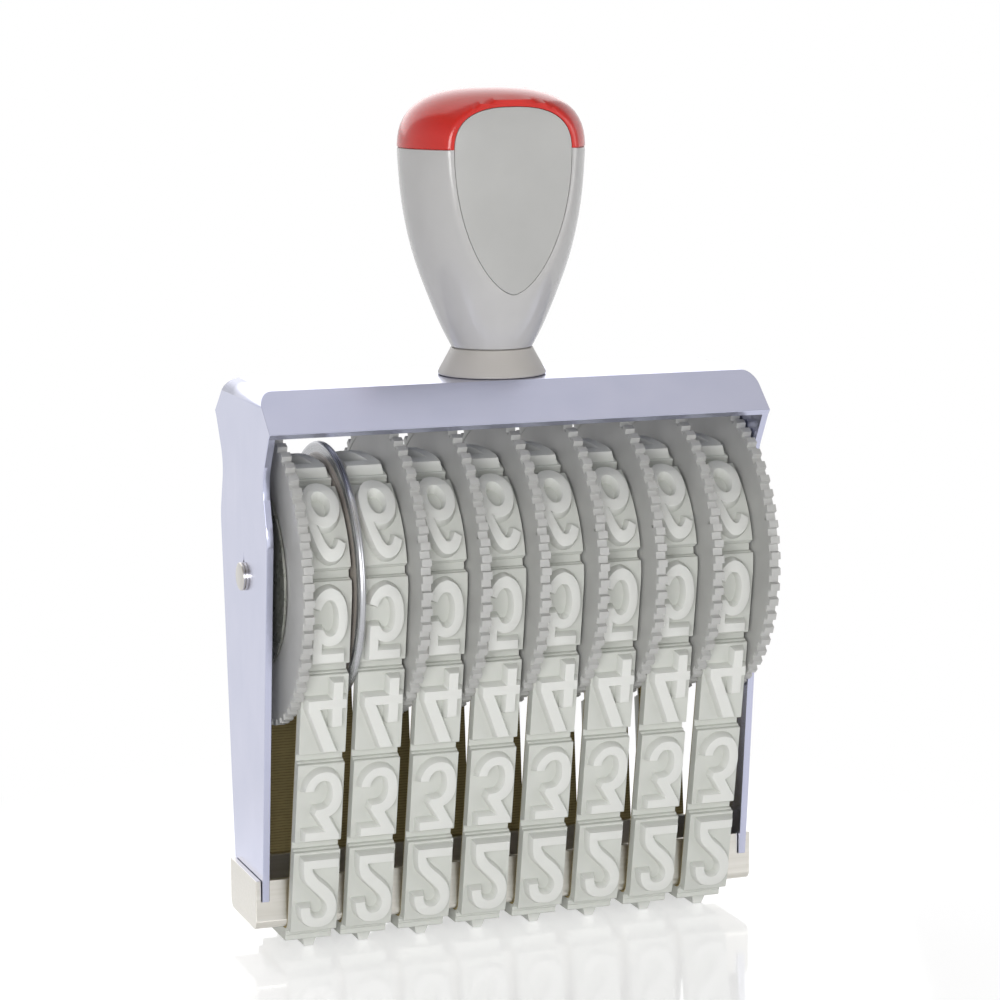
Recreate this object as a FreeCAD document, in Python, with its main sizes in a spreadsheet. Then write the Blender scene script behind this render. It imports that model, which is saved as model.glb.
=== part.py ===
# A band numbering stamp: eight endless rubber number bands on eight thumb wheels in a folded frame.
# X runs along the axle, the front is -Y and Z is up. The origin is on the paper under the middle.
# All lengths are millimetres. Heights in the sketches count from the underside of the foot channel.

import FreeCAD, Part
import math
import os
import Sketcher

# Driving sizes
SIZES = [
    # Folded frame
    ("frame_width", 110.0),
    ("roof_clearance", 8.6),
    ("sheet", 1.5),
    ("bend_radius", 1.5),
    ("roof_half_depth", 12.5),
    ("flange_drop", 7.8),
    ("flange_flare", 9.0),
    ("waist_half_depth", 15.2),
    ("waist_drop", 18.2),
    ("waist_radius", 9.0),
    ("hip_half_depth", 18.2),
    ("hip_drop", 29.2),
    ("hip_radius", 12.0),
    ("ankle_half_depth", 10.6),
    ("ankle_height", 6.2),
    ("keyhole_height", 4.6),
    ("keyhole_half_width", 1.1),
    # Foot channel
    ("foot_half_depth", 10.05),
    ("foot_height", 10.7),
    ("foot_sheet", 1.2),
    ("foot_corner", 2.0),
    ("foot_play", 0.1),
    # Axle
    ("axle_height", 73.6),
    ("axle_radius", 2.5),
    ("axle_head_radius", 3.0),
    ("axle_head_length", 1.3),
    ("axle_hole_play", 0.05),
    # Thumb wheels
    ("disc_radius", 31.5),
    ("disc_thickness", 2.1),
    ("tooth_count", 58),
    ("tooth_depth", 1.1),
    ("drum_radius", 19.7),
    ("wheel_gap", 0.1),
    ("end_gap", 0.3),
    ("wheel_running_play", 0.08),
    # Number bands
    ("band_side_gap", 0.335),
    ("belt", 1.0),
    ("pad", 2.0),
    ("relief", 2.0),
    ("drum_gap", 0.3),
    ("loop_gap", 0.1),
    ("pad_groove", 2.3),
    ("groove_bevel", 0.45),
    ("digit_height", 15.0),
    ("digit_width", 7.2),
    ("relief_draft", 20.0),
    # Separator and friction spring
    ("separator_thickness", 1.2),
    ("separator_radius", 27.5),
    ("separator_bead", 1.6),
    ("separator_play", 0.3),
    ("spring_room", 2.54),
    ("spring_sheet", 0.5),
    ("spring_seat_radius", 6.0),
    ("spring_radius", 18.8),
    # Grip
    ("collar_height", 6.0),
    ("collar_foot_radius", 11.5),
    ("collar_neck_radius", 8.5),
    ("collar_lip", 0.6),
    ("grip_radius", 19.8),
    ("grip_height", 41.3),
    ("grip_foot_radius", 8.6),
    ("cap_height", 13.3),
    ("facet_distance", 13.9),
    ("label_half_width", 12.8),
    ("label_drop", 29.4),
    ("label_rise", 9.2),
    ("label_thickness", 1.6),
    ("label_proud", 0.15),
    ("label_gap", 0.1),
    # Handle screw
    ("screw_radius", 2.5),
    ("screw_play", 0.25),
    ("screw_head_radius", 4.2),
    ("screw_head_height", 2.4),
    ("screw_reach", 24.0),
    ("washer_radius", 5.5),
    ("washer_thickness", 0.8),
    # One overrun for every cut
    ("overrun", 2.0),
]

# Counts, and shares chosen by hand
BAND_COUNT = 8
PAD_COUNT = 12
DRUM_SIDES = 24
TURNED_SIDES = 40
GAP_SHARE = 0.52
# How far up the grip, and how far its radius has swelled there
GRIP_SHARES = [(0.0, 0.0), (0.1, 0.19), (0.2, 0.35), (0.3, 0.495), (0.42, 0.655), (0.55, 0.79), (0.7, 0.9),
               (0.85, 0.965), (1.0, 1.0)]
# How far up the crown each edge lies; its radius follows from the exponent
CROWN_SHARES = [0.0, 0.25, 0.45, 0.62, 0.76, 0.87, 0.94, 0.98, 1.0]
CROWN_EXPONENT = 2.6
# How far down the label's taper each corner lies, and how its width follows
LABEL_SHARES = [1.0, 0.995, 0.975, 0.94, 0.88, 0.8, 0.69, 0.55, 0.38, 0.19]
LABEL_TAPER_EXPONENT = 1.35
ARCH_STEPS = 9
# The figure 1 on its stamping face, across and along its height
ONE_SHARES = [(-0.125, -0.5), (0.125, -0.5), (0.125, 0.5), (-0.1, 0.5), (-0.42, 0.375), (-0.42, 0.265),
              (-0.125, 0.36)]

doc = FreeCAD.newDocument("numbering_stamp")
sheet = doc.addObject("Spreadsheet::Sheet", "Sizes")
for row, (name, value) in enumerate(SIZES, 1):
    sheet.set("A%d" % row, name)
    sheet.set("B%d" % row, str(value))
    sheet.setAlias("B%d" % row, name)
doc.recompute()


def size(name):
    """A driving size by its name, in millimetres."""
    return float(sheet.get(name))


# Expressions that several pieces share: the roof clears the thumb wheels, and the wheels share the frame's width
FOOT_LEVEL = "(Sizes.belt + Sizes.pad + Sizes.relief + Sizes.loop_gap)"
WALL = "(Sizes.frame_width / 2 - Sizes.sheet)"
FRAME_HEIGHT = "(Sizes.axle_height + Sizes.disc_radius + Sizes.roof_clearance)"
ROOF = "(%s - Sizes.sheet)" % FRAME_HEIGHT
WHEEL_PITCH = "((2 * %s - Sizes.spring_room - Sizes.separator_thickness - Sizes.end_gap) / %d)" % (WALL, BAND_COUNT)
DRUM_LENGTH = "(%s - Sizes.disc_thickness - Sizes.wheel_gap)" % WHEEL_PITCH
LAST_DRUM_END = "(%s - Sizes.end_gap - Sizes.disc_thickness)" % WALL
FIRST_DRUM_START = ("(%s - %d * %s - 2 * %s - 2 * Sizes.wheel_gap - Sizes.separator_thickness)"
                    % (LAST_DRUM_END, BAND_COUNT - 2, WHEEL_PITCH, DRUM_LENGTH))


def place(piece, x="0", height="0"):
    """Put a piece at x along the axle and at a height above the underside of the foot channel."""
    piece.setExpression("Placement.Base.x", x)
    piece.setExpression("Placement.Base.z", "%s + %s" % (FOOT_LEVEL, height))


def new_body(name):
    """An empty body that carries one sub-part."""
    body = doc.addObject("PartDesign::Body", name)
    body.Label = name
    return body


def origin_feature(body, role):
    """One of the body's own origin planes or axes."""
    return next(feature for feature in body.Origin.OriginFeatures if feature.Role == role)


def sketch_on(body, name, role, offset="0"):
    """A sketch on an origin plane of its body, moved along the plane's normal."""
    sketch = body.newObject("Sketcher::SketchObject", name)
    sketch.AttachmentSupport = [(origin_feature(body, role), "")]
    sketch.MapMode = "FlatFace"
    sketch.setExpression("AttachmentOffset.Base.z", offset)
    return sketch


def dimension(sketch, geometry, point, x, y):
    """Hold a point of the sketch at a distance from its origin along both of its axes."""
    for kind, distance in (("DistanceX", x), ("DistanceY", y)):
        number = sketch.addConstraint(Sketcher.Constraint(kind, -1, 1, geometry, point, 1.0))
        sketch.setExpression("Constraints[%d]" % number, distance)


def draw_outline(sketch, points):
    """A closed outline of straight lines whose corners are dimensioned; its lines start on a circle."""
    count = len(points)
    start = [FreeCAD.Vector(math.cos(2 * math.pi * n / count), math.sin(2 * math.pi * n / count), 0)
             for n in range(count)]
    lines = [sketch.addGeometry(Part.LineSegment(start[n], start[(n + 1) % count])) for n in range(count)]
    for n, line in enumerate(lines):
        sketch.addConstraint(Sketcher.Constraint("Coincident", line, 2, lines[(n + 1) % count], 1))
        dimension(sketch, line, 1, *points[n])


def draw_circle(sketch, radius, x="0", y="0"):
    """A circle with a dimensioned radius and centre."""
    circle = sketch.addGeometry(Part.Circle())
    dimension(sketch, circle, 3, x, y)
    number = sketch.addConstraint(Sketcher.Constraint("Radius", circle, 1.0))
    sketch.setExpression("Constraints[%d]" % number, radius)


def mirrored(points):
    """Close an outline that is given on the +x side, from bottom to top, by its mirror image."""
    return points + [("-(%s)" % x, y) for x, y in reversed(points)]


def pad(body, name, profile, length, midplane=False):
    """Grow the body by the sketch's area."""
    feature = body.newObject("PartDesign::Pad", name)
    feature.Profile = profile
    feature.setExpression("Length", length)
    feature.Midplane = midplane
    return feature


def add_prism(body, name, radius, sides, length, start="0", kind="PartDesign::AdditivePrism"):
    """A many-sided prism along X, by the radius of its corners, of which one is at +Y."""
    feature = body.newObject(kind, name)
    feature.AttachmentSupport = [(origin_feature(body, "YZ_Plane"), "")]
    feature.MapMode = "FlatFace"
    feature.setExpression("AttachmentOffset.Base.z", start)
    feature.setExpression("Circumradius", radius)
    feature.setExpression("Polygon", sides)
    feature.setExpression("Height", length)


def cut_through(body, name, profile):
    """Cut the sketch's area out of the whole body, both ways from the sketch."""
    feature = body.newObject("PartDesign::Pocket", name)
    feature.Profile = profile
    feature.Type = "ThroughAll"
    feature.Midplane = True
    return feature


def mirror_across(body, name, features):
    """Repeat features on the other side of the body's YZ plane."""
    feature = body.newObject("PartDesign::Mirrored", name)
    feature.Originals = features
    feature.MirrorPlane = (origin_feature(body, "YZ_Plane"), [""])
    body.Tip = feature


def round_edges(body, name, radius, chosen):
    """Round the straight edges whose middle passes the test."""
    doc.recompute()
    base = body.Tip
    names = ["Edge%d" % number for number, edge in enumerate(base.Shape.Edges, 1)
             if edge.Curve.TypeId == "Part::GeomLine"
             and chosen(edge.CenterOfMass, edge.tangentAt(edge.FirstParameter))]
    feature = body.newObject("PartDesign::Fillet", name)
    feature.Base = (base, names)
    feature.setExpression("Radius", radius)


def turn_about(body, name, profile, axis):
    """Revolve the sketch once round one of its own axes."""
    feature = body.newObject("PartDesign::Revolution", name)
    feature.Profile = profile
    feature.ReferenceAxis = (profile, [axis])
    feature.Angle = 360


def near(value, target):
    return abs(value - target) < size("wheel_gap") / 10


def build_frame():
    """One blank: the roof with its flared flanges, and the two side plates that hang from it."""
    body = new_body("frame")
    slope = "sqrt(Sizes.flange_drop ^ 2 + Sizes.flange_flare ^ 2)"
    outer_lip = ("Sizes.roof_half_depth + Sizes.flange_flare", "%s - Sizes.flange_drop" % FRAME_HEIGHT)
    inner_lip = ("%s - Sizes.sheet * Sizes.flange_drop / %s" % (outer_lip[0], slope),
                 "%s - Sizes.sheet * Sizes.flange_flare / %s" % (outer_lip[1], slope))
    inset = "Sizes.sheet * Sizes.flange_drop / (%s + Sizes.flange_flare)" % slope
    inner_bend = ("Sizes.roof_half_depth - %s" % inset, ROOF)
    roof = sketch_on(body, "roof_profile", "YZ_Plane")
    draw_outline(roof, mirrored([inner_bend, inner_lip, outer_lip,
                                 ("Sizes.roof_half_depth", FRAME_HEIGHT)]))
    pad(body, "roof", roof, "Sizes.frame_width", midplane=True)

    side = sketch_on(body, "side_outline", "YZ_Plane", "-Sizes.frame_width / 2")
    draw_outline(side, mirrored([("Sizes.ankle_half_depth", "Sizes.ankle_height"),
                                 ("Sizes.hip_half_depth", "%s - Sizes.hip_drop" % FRAME_HEIGHT),
                                 ("Sizes.waist_half_depth", "%s - Sizes.waist_drop" % FRAME_HEIGHT),
                                 inner_lip, inner_bend]))
    plate = pad(body, "side_plate", side, "Sizes.sheet")
    mirror_across(body, "both_side_plates", [plate])

    top = size("axle_height") + size("disc_radius") + size("roof_clearance")
    for corner in ("waist", "hip"):
        depth, height = size(corner + "_half_depth"), top - size(corner + "_drop")
        round_edges(body, corner + "_curve", "Sizes.%s_radius" % corner,
                    lambda middle, along: near(abs(middle.y), depth) and near(middle.z, height))
    round_edges(body, "outer_corner_bends", "Sizes.bend_radius + Sizes.sheet",
                lambda middle, along: near(middle.y, 0) and near(middle.z, top) and near(abs(along.y), 1))
    round_edges(body, "inner_corner_bends", "Sizes.bend_radius",
                lambda middle, along: near(middle.y, 0) and near(middle.z, top - size("sheet"))
                and near(abs(along.y), 1))

    holes = sketch_on(body, "axle_hole", "YZ_Plane")
    draw_circle(holes, "Sizes.axle_radius + Sizes.axle_hole_play", "0", "Sizes.axle_height")
    cut_through(body, "axle_holes", holes)
    keyhole = sketch_on(body, "keyhole", "YZ_Plane")
    draw_outline(keyhole, [("-Sizes.keyhole_half_width", "Sizes.axle_height"),
                           ("Sizes.keyhole_half_width", "Sizes.axle_height"),
                           ("0", "Sizes.axle_height + Sizes.keyhole_height")])
    cut_through(body, "keyholes", keyhole)
    screw_hole = sketch_on(body, "screw_hole", "XY_Plane")
    draw_circle(screw_hole, "Sizes.screw_radius + Sizes.screw_play")
    cut_through(body, "roof_screw_hole", screw_hole)
    place(body)
    return body


def build_foot_channel():
    """The tray that the bands run round, with end flaps outside the side plates and notches for them."""
    body = new_body("foot_channel")
    flap_start = "Sizes.frame_width / 2 + Sizes.foot_play"
    tray = sketch_on(body, "tray_profile", "YZ_Plane")
    draw_outline(tray, mirrored([("Sizes.foot_half_depth", "0"), ("Sizes.foot_half_depth", "Sizes.foot_height"),
                                 ("Sizes.foot_half_depth - Sizes.foot_sheet", "Sizes.foot_height"),
                                 ("Sizes.foot_half_depth - Sizes.foot_sheet", "Sizes.foot_sheet")]))
    pad(body, "tray", tray, "2 * (%s)" % flap_start, midplane=True)
    end = sketch_on(body, "flap_outline", "YZ_Plane", flap_start)
    draw_outline(end, mirrored([("Sizes.foot_half_depth", "0"),
                                ("Sizes.foot_half_depth", "Sizes.foot_height")]))
    flap = pad(body, "end_flap", end, "Sizes.foot_sheet")
    mirror_across(body, "both_end_flaps", [flap])

    notch = sketch_on(body, "notch_outline", "XZ_Plane")
    notch_start, above = "%s - Sizes.foot_play" % WALL, "Sizes.foot_height + Sizes.overrun"
    draw_outline(notch, [(notch_start, "Sizes.ankle_height"), (flap_start, "Sizes.ankle_height"),
                         (flap_start, above), (notch_start, above)])
    slot = cut_through(body, "side_plate_notch", notch)
    mirror_across(body, "both_notches", [slot])
    round_edges(body, "outer_foot_bends", "Sizes.foot_corner",
                lambda middle, along: near(middle.z, 0) and near(abs(middle.y), size("foot_half_depth")))
    round_edges(body, "inner_foot_bends", "Sizes.foot_corner - Sizes.foot_sheet",
                lambda middle, along: near(middle.z, size("foot_sheet"))
                and near(abs(middle.y), size("foot_half_depth") - size("foot_sheet")))
    place(body)
    return body


def build_axle():
    """A plain rod with a riveted head outside each side plate."""
    body = new_body("axle")
    tip = "Sizes.frame_width / 2 + Sizes.axle_head_length"
    profile = sketch_on(body, "half_profile", "XZ_Plane")
    draw_outline(profile, mirrored([(tip, "0"), (tip, "Sizes.axle_head_radius"),
                                    ("Sizes.frame_width / 2", "Sizes.axle_head_radius"),
                                    ("Sizes.frame_width / 2", "Sizes.axle_radius")]))
    turn_about(body, "turned_rod", profile, "H_Axis")
    place(body, height="Sizes.axle_height")
    return body


def build_wheel(number):
    """A thumb wheel: a serrated disc and a many-sided drum that grips the band's backing.

    The first wheel has its disc on the left of its band, all others on the right.
    """
    body = new_body("wheel_%d" % number)
    add_prism(body, "disc", "Sizes.disc_radius", "Sizes.tooth_count", "Sizes.disc_thickness")
    add_prism(body, "drum", "Sizes.drum_radius", "%d" % DRUM_SIDES, DRUM_LENGTH, "-%s" % DRUM_LENGTH)
    bore = sketch_on(body, "bore", "YZ_Plane")
    draw_circle(bore, "Sizes.axle_radius + Sizes.wheel_running_play")
    cut_through(body, "axle_bore", bore)

    gap_width = "2 * pi * Sizes.disc_radius / Sizes.tooth_count * %g" % GAP_SHARE
    mouth = "Sizes.disc_radius + Sizes.tooth_depth"
    gap = sketch_on(body, "gap_outline", "YZ_Plane")
    draw_outline(gap, [("Sizes.disc_radius - Sizes.tooth_depth", "0"), (mouth, "-" + gap_width),
                       (mouth, gap_width)])
    first_gap = cut_through(body, "tooth_gap", gap)
    teeth = body.newObject("PartDesign::PolarPattern", "serration")
    teeth.Originals = [first_gap]
    teeth.Axis = (origin_feature(body, "X_Axis"), [""])
    teeth.Angle = 360
    teeth.setExpression("Occurrences", "Sizes.tooth_count")
    body.Tip = teeth

    if number == 1:
        body.Placement = FreeCAD.Placement(FreeCAD.Vector(), FreeCAD.Rotation(FreeCAD.Vector(0, 0, 1), 180))
        place(body, FIRST_DRUM_START, "Sizes.axle_height")
    else:
        place(body, "%s - %d * %s" % (LAST_DRUM_END, BAND_COUNT - number, WHEEL_PITCH), "Sizes.axle_height")
    return body


def band_loop():
    """The stretches of a band, from the middle of the foot up the front, over the wheel and down the back.

    Each is (start, length, centre or start point, inner radius, normal angle at the start). Lengths are
    measured on the belt's middle line. The normal turns clockwise, seen from +X, and points out of the loop.
    """
    middle = size("belt") / 2
    wheel = (0.0, size("axle_height"))
    wheel_radius = size("drum_radius") + size("drum_gap")
    corner = (size("foot_half_depth") - size("foot_corner"), size("foot_corner"))
    corner_radius = size("foot_corner") + size("loop_gap")
    between = math.hypot(corner[0], wheel[1] - corner[1])
    run = math.sqrt(between ** 2 - (wheel_radius - corner_radius) ** 2)
    lean = math.asin((wheel_radius - corner_radius) / between) - math.atan2(corner[0], wheel[1] - corner[1])

    def on_arc(centre, radius, angle):
        return (centre[0] + radius * math.cos(angle), centre[1] + radius * math.sin(angle))

    down, front, back = 1.5 * math.pi, math.pi + lean, -lean
    front_corner, back_corner = (-corner[0], corner[1]), corner
    parts = [
        (corner[0], (0.0, -size("loop_gap")), 0.0, down),
        ((down - front) * (corner_radius + middle), front_corner, corner_radius, down),
        (run, on_arc(front_corner, corner_radius, front), 0.0, front),
        ((front - back) * (wheel_radius + middle), wheel, wheel_radius, front),
        (run, on_arc(wheel, wheel_radius, back), 0.0, back),
        ((back - down + 2 * math.pi) * (corner_radius + middle), back_corner, corner_radius, back),
        (corner[0], (corner[0], -size("loop_gap")), 0.0, down),
    ]
    stretches, start = [], 0.0
    for length, point, radius, angle in parts:
        stretches.append((start, length, point, radius, angle))
        start += length
    return stretches, start


def loop_point(stretch, along, height):
    """The point that lies so far along a stretch and so high above the belt's inner face."""
    start, length, point, radius, angle = stretch
    if radius:
        angle -= along / (radius + size("belt") / 2)
        reach = radius + height
        return FreeCAD.Vector(0, point[0] + reach * math.cos(angle), point[1] + reach * math.sin(angle))
    normal = (math.cos(angle), math.sin(angle))
    return FreeCAD.Vector(0, point[0] + along * normal[1] + height * normal[0],
                          point[1] - along * normal[0] + height * normal[1])


def loop_edges(stretches, total, start, end, height):
    """Edges that follow the band from start to end at one height: flats over the drum, arcs at the foot."""
    edges = []
    shortest = size("loop_gap") / 100
    for lap in (-1, 0, 1):
        for stretch in stretches:
            low = max(start, stretch[0] + lap * total)
            high = min(end, stretch[0] + stretch[1] + lap * total)
            if high - low < shortest:
                continue
            low, high = low - stretch[0] - lap * total, high - stretch[0] - lap * total
            round_the_drum = stretch[3] > size("foot_half_depth")
            flats = 1
            if round_the_drum:
                flat = 2 * math.pi / DRUM_SIDES * (stretch[3] + size("belt") / 2)
                flats = math.ceil((high - low) / flat - shortest)
            steps = [low + (high - low) * step / flats for step in range(flats + 1)]
            for first, last in zip(steps, steps[1:]):
                ends = loop_point(stretch, first, height), loop_point(stretch, last, height)
                if stretch[3] and not round_the_drum:
                    curve = Part.Arc(ends[0], loop_point(stretch, (first + last) / 2, height), ends[1])
                else:
                    curve = Part.LineSegment(*ends)
                edges.append(curve.toShape())
    return edges


def band_outline():
    """The side view of a band: the belt's smooth inside, and the pads with bevelled grooves outside."""
    stretches, total = band_loop()
    pitch = total / PAD_COUNT
    half_pad = (pitch - size("pad_groove")) / 2
    bevel = size("groove_bevel")
    top, floor = size("belt") + size("pad"), size("belt")
    outside = []
    for number in range(PAD_COUNT):
        middle = number * pitch
        face = loop_edges(stretches, total, middle - half_pad, middle + half_pad, top)
        groove = loop_edges(stretches, total, middle + half_pad + bevel,
                            middle + pitch - half_pad - bevel, floor)
        next_face = loop_edges(stretches, total, middle + pitch - half_pad, middle + pitch, top)
        down = Part.LineSegment(face[-1].lastVertex(True).Point, groove[0].firstVertex(True).Point).toShape()
        up = Part.LineSegment(groove[-1].lastVertex(True).Point, next_face[0].firstVertex(True).Point).toShape()
        outside += face + [down] + groove + [up]
    outer = Part.Wire(outside)
    inner = Part.Wire(loop_edges(stretches, total, 0.0, total, 0.0))
    outline = doc.addObject("Part::Feature", "band_outline")
    outline.Shape = Part.makeFace([outer, inner], "Part::FaceMakerBullseye")
    return outline


def figure_outline():
    """The figure 1 that each band has on its stamping pad, drawn on the paper."""
    corners = [FreeCAD.Vector(across * size("digit_width"), along * size("digit_height"), 0)
               for across, along in ONE_SHARES]
    outline = doc.addObject("Part::Feature", "figure_outline")
    outline.Shape = Part.Face(Part.makePolygon(corners + corners[:1]))
    return outline


def build_band(number, side_view, figure):
    """An endless band: the loop across its width, and the raised figure that stands on the paper."""
    if number == 1:
        middle = "%s + %s / 2" % (FIRST_DRUM_START, DRUM_LENGTH)
    else:
        middle = "%s - %d * %s - (%s - Sizes.disc_thickness) / 2" % (
            LAST_DRUM_END, BAND_COUNT - number, WHEEL_PITCH, WHEEL_PITCH)
    loop = doc.addObject("Part::Extrusion", "loop_%d" % number)
    loop.Base = side_view
    loop.DirMode = "Custom"
    loop.Dir = FreeCAD.Vector(1, 0, 0)
    loop.setExpression("LengthFwd", "%s - 2 * Sizes.band_side_gap" % DRUM_LENGTH)
    loop.Symmetric = True
    loop.Solid = True
    place(loop, middle)
    raised = doc.addObject("Part::Extrusion", "figure_%d" % number)
    raised.Base = figure
    raised.DirMode = "Custom"
    raised.Dir = FreeCAD.Vector(0, 0, 1)
    raised.setExpression("LengthFwd", "Sizes.relief")
    raised.setExpression("TaperAngle", "Sizes.relief_draft")
    raised.Solid = True
    raised.setExpression("Placement.Base.x", middle)
    band = doc.addObject("Part::MultiFuse", "band_%d" % number)
    band.Label = "band_%d" % number
    band.Shapes = [loop, raised]
    return band


def build_separator():
    """A loose disc with a thicker rim that keeps bands 1 and 2 apart, where no thumb wheel does."""
    body = new_body("separator")
    half_web, half_bead = "Sizes.separator_thickness / 2", "Sizes.separator_bead / 2"
    sides = "%d" % (2 * DRUM_SIDES)
    add_prism(body, "rimmed_disc", "Sizes.separator_radius", sides, "Sizes.separator_bead", "-" + half_bead)
    for name, start in (("right_web_face", half_web), ("left_web_face", "-" + half_bead)):
        add_prism(body, name, "Sizes.separator_radius - Sizes.separator_bead", sides,
                  "%s - %s" % (half_bead, half_web), start, "PartDesign::SubtractivePrism")
    bore = sketch_on(body, "bore", "YZ_Plane")
    draw_circle(bore, "Sizes.axle_radius + Sizes.separator_play")
    cut_through(body, "axle_bore", bore)
    place(body, "%s + %s + Sizes.wheel_gap + %s" % (FIRST_DRUM_START, DRUM_LENGTH, half_web),
          "Sizes.axle_height")
    return body


def turned_in_flats(name, profile):
    """A turned piece as a ring of flat faces, from the closed half profile in radius and height.

    Many flats keep a long curved form as light as the rest of the model.
    """
    def corner(radius, height, side):
        turn = 2 * math.pi * (side + 0.5) / TURNED_SIDES
        return FreeCAD.Vector(radius * math.cos(turn), radius * math.sin(turn), height)

    faces = []
    for (radius, height), (next_radius, next_height) in zip(profile, profile[1:] + profile[:1]):
        if not radius and not next_radius:
            continue
        if height == next_height:
            rims = [[corner(rim, height, side) for side in range(TURNED_SIDES)]
                    for rim in (radius, next_radius) if rim]
            wires = [Part.makePolygon(rim + rim[:1]) for rim in rims]
            faces.append(Part.makeFace(wires, "Part::FaceMakerBullseye"))
            continue
        for side in range(TURNED_SIDES):
            points = [corner(radius, height, side), corner(radius, height, side + 1),
                      corner(next_radius, next_height, side + 1), corner(next_radius, next_height, side)]
            if not next_radius:
                points.pop()
            faces.append(Part.Face(Part.makePolygon(points + points[:1])))
    piece = doc.addObject("Part::Feature", name)
    shell = Part.makeShell(faces)
    shell.sewShape()
    piece.Shape = Part.makeSolid(shell)
    return piece


def build_friction_spring():
    """A dished steel disc that presses the wheels together: seated on the side plate, rim towards wheel 1."""
    bore = size("axle_radius") + size("axle_hole_play")
    seat, rim, sheet_metal = size("spring_seat_radius"), size("spring_radius"), size("spring_sheet")
    depth = size("spring_room") - size("wheel_gap")
    spring = turned_in_flats("friction_spring", [
        (bore, 0.0), (seat + sheet_metal, 0.0), (rim, depth - sheet_metal), (rim, depth),
        (seat, sheet_metal), (bore, sheet_metal)])
    spring.Placement = FreeCAD.Placement(FreeCAD.Vector(), FreeCAD.Rotation(FreeCAD.Vector(0, 1, 0), 90))
    place(spring, "-%s" % WALL, "Sizes.axle_height")
    return spring


def build_turned(name, half_profile, height):
    """A round piece on the middle line of the grip, from its half profile in radius and height."""
    body = new_body(name)
    profile = sketch_on(body, "half_profile", "XZ_Plane")
    draw_outline(profile, half_profile)
    turn_about(body, "turned_" + name, profile, "V_Axis")
    place(body, height=height)
    return body


def build_fastening():
    """The screw and washer that hold the grip, and the flared collar between the frame and the grip."""
    hole = "Sizes.screw_radius + Sizes.screw_play"
    collar = build_turned("handle_collar", [
        (hole, "0"), ("Sizes.collar_foot_radius - Sizes.collar_lip / 2", "0"),
        ("Sizes.collar_foot_radius", "Sizes.collar_lip"), ("Sizes.collar_neck_radius", "Sizes.collar_height"),
        (hole, "Sizes.collar_height")], FRAME_HEIGHT)
    washer = build_turned("screw_washer", [
        (hole, "-Sizes.washer_thickness"), ("Sizes.washer_radius", "-Sizes.washer_thickness"),
        ("Sizes.washer_radius", "0"), (hole, "0")], ROOF)
    head_top = "-Sizes.washer_thickness"
    head_bottom = "-(Sizes.washer_thickness + Sizes.screw_head_height)"
    screw = build_turned("handle_screw", [
        ("0", head_bottom), ("Sizes.screw_head_radius", head_bottom), ("Sizes.screw_head_radius", head_top),
        ("Sizes.screw_radius", head_top), ("Sizes.screw_radius", "Sizes.sheet + Sizes.screw_reach"),
        ("0", "Sizes.sheet + Sizes.screw_reach")], ROOF)
    return [collar, washer, screw]


def combine(kind, name, base, tool):
    """A boolean of two objects: Part::Cut, Part::Fuse or Part::Common."""
    feature = doc.addObject(kind, name)
    feature.Label = name
    feature.Base = base
    feature.Tool = tool
    return feature


def label_block(name, margin, depth, start):
    """The label's outline, an arch above the seam and a rounded taper below it, carried forward."""
    seam = size("grip_height")
    half_width, drop, rise = (size("label_half_width") + margin, size("label_drop") + margin,
                              size("label_rise") + margin)
    taper = [(half_width * (1 - down ** 2) ** (1 / LABEL_TAPER_EXPONENT), seam - down * drop)
             for down in LABEL_SHARES]
    arch = []
    for step in range(ARCH_STEPS + 1):
        turn = math.pi / 2 * step / ARCH_STEPS
        arch.append((half_width * abs(math.cos(turn)) ** (2 / CROWN_EXPONENT),
                     seam + rise * math.sin(turn) ** (2 / CROWN_EXPONENT)))
    right = [FreeCAD.Vector(x, 0, z) for x, z in taper + arch]
    left = [FreeCAD.Vector(-point.x, 0, point.z) for point in reversed(right[1:-1])]
    outline = doc.addObject("Part::Feature", name + "_outline")
    outline.Shape = Part.Face(Part.makePolygon(right + left + right[:1]))
    block = doc.addObject("Part::Extrusion", name)
    block.Label = name
    block.Base = outline
    block.DirMode = "Custom"
    block.Dir = FreeCAD.Vector(0, -1, 0)
    block.Solid = True
    block.setExpression("LengthFwd", depth)
    block.setExpression("Placement.Base.y", start)
    return block


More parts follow.
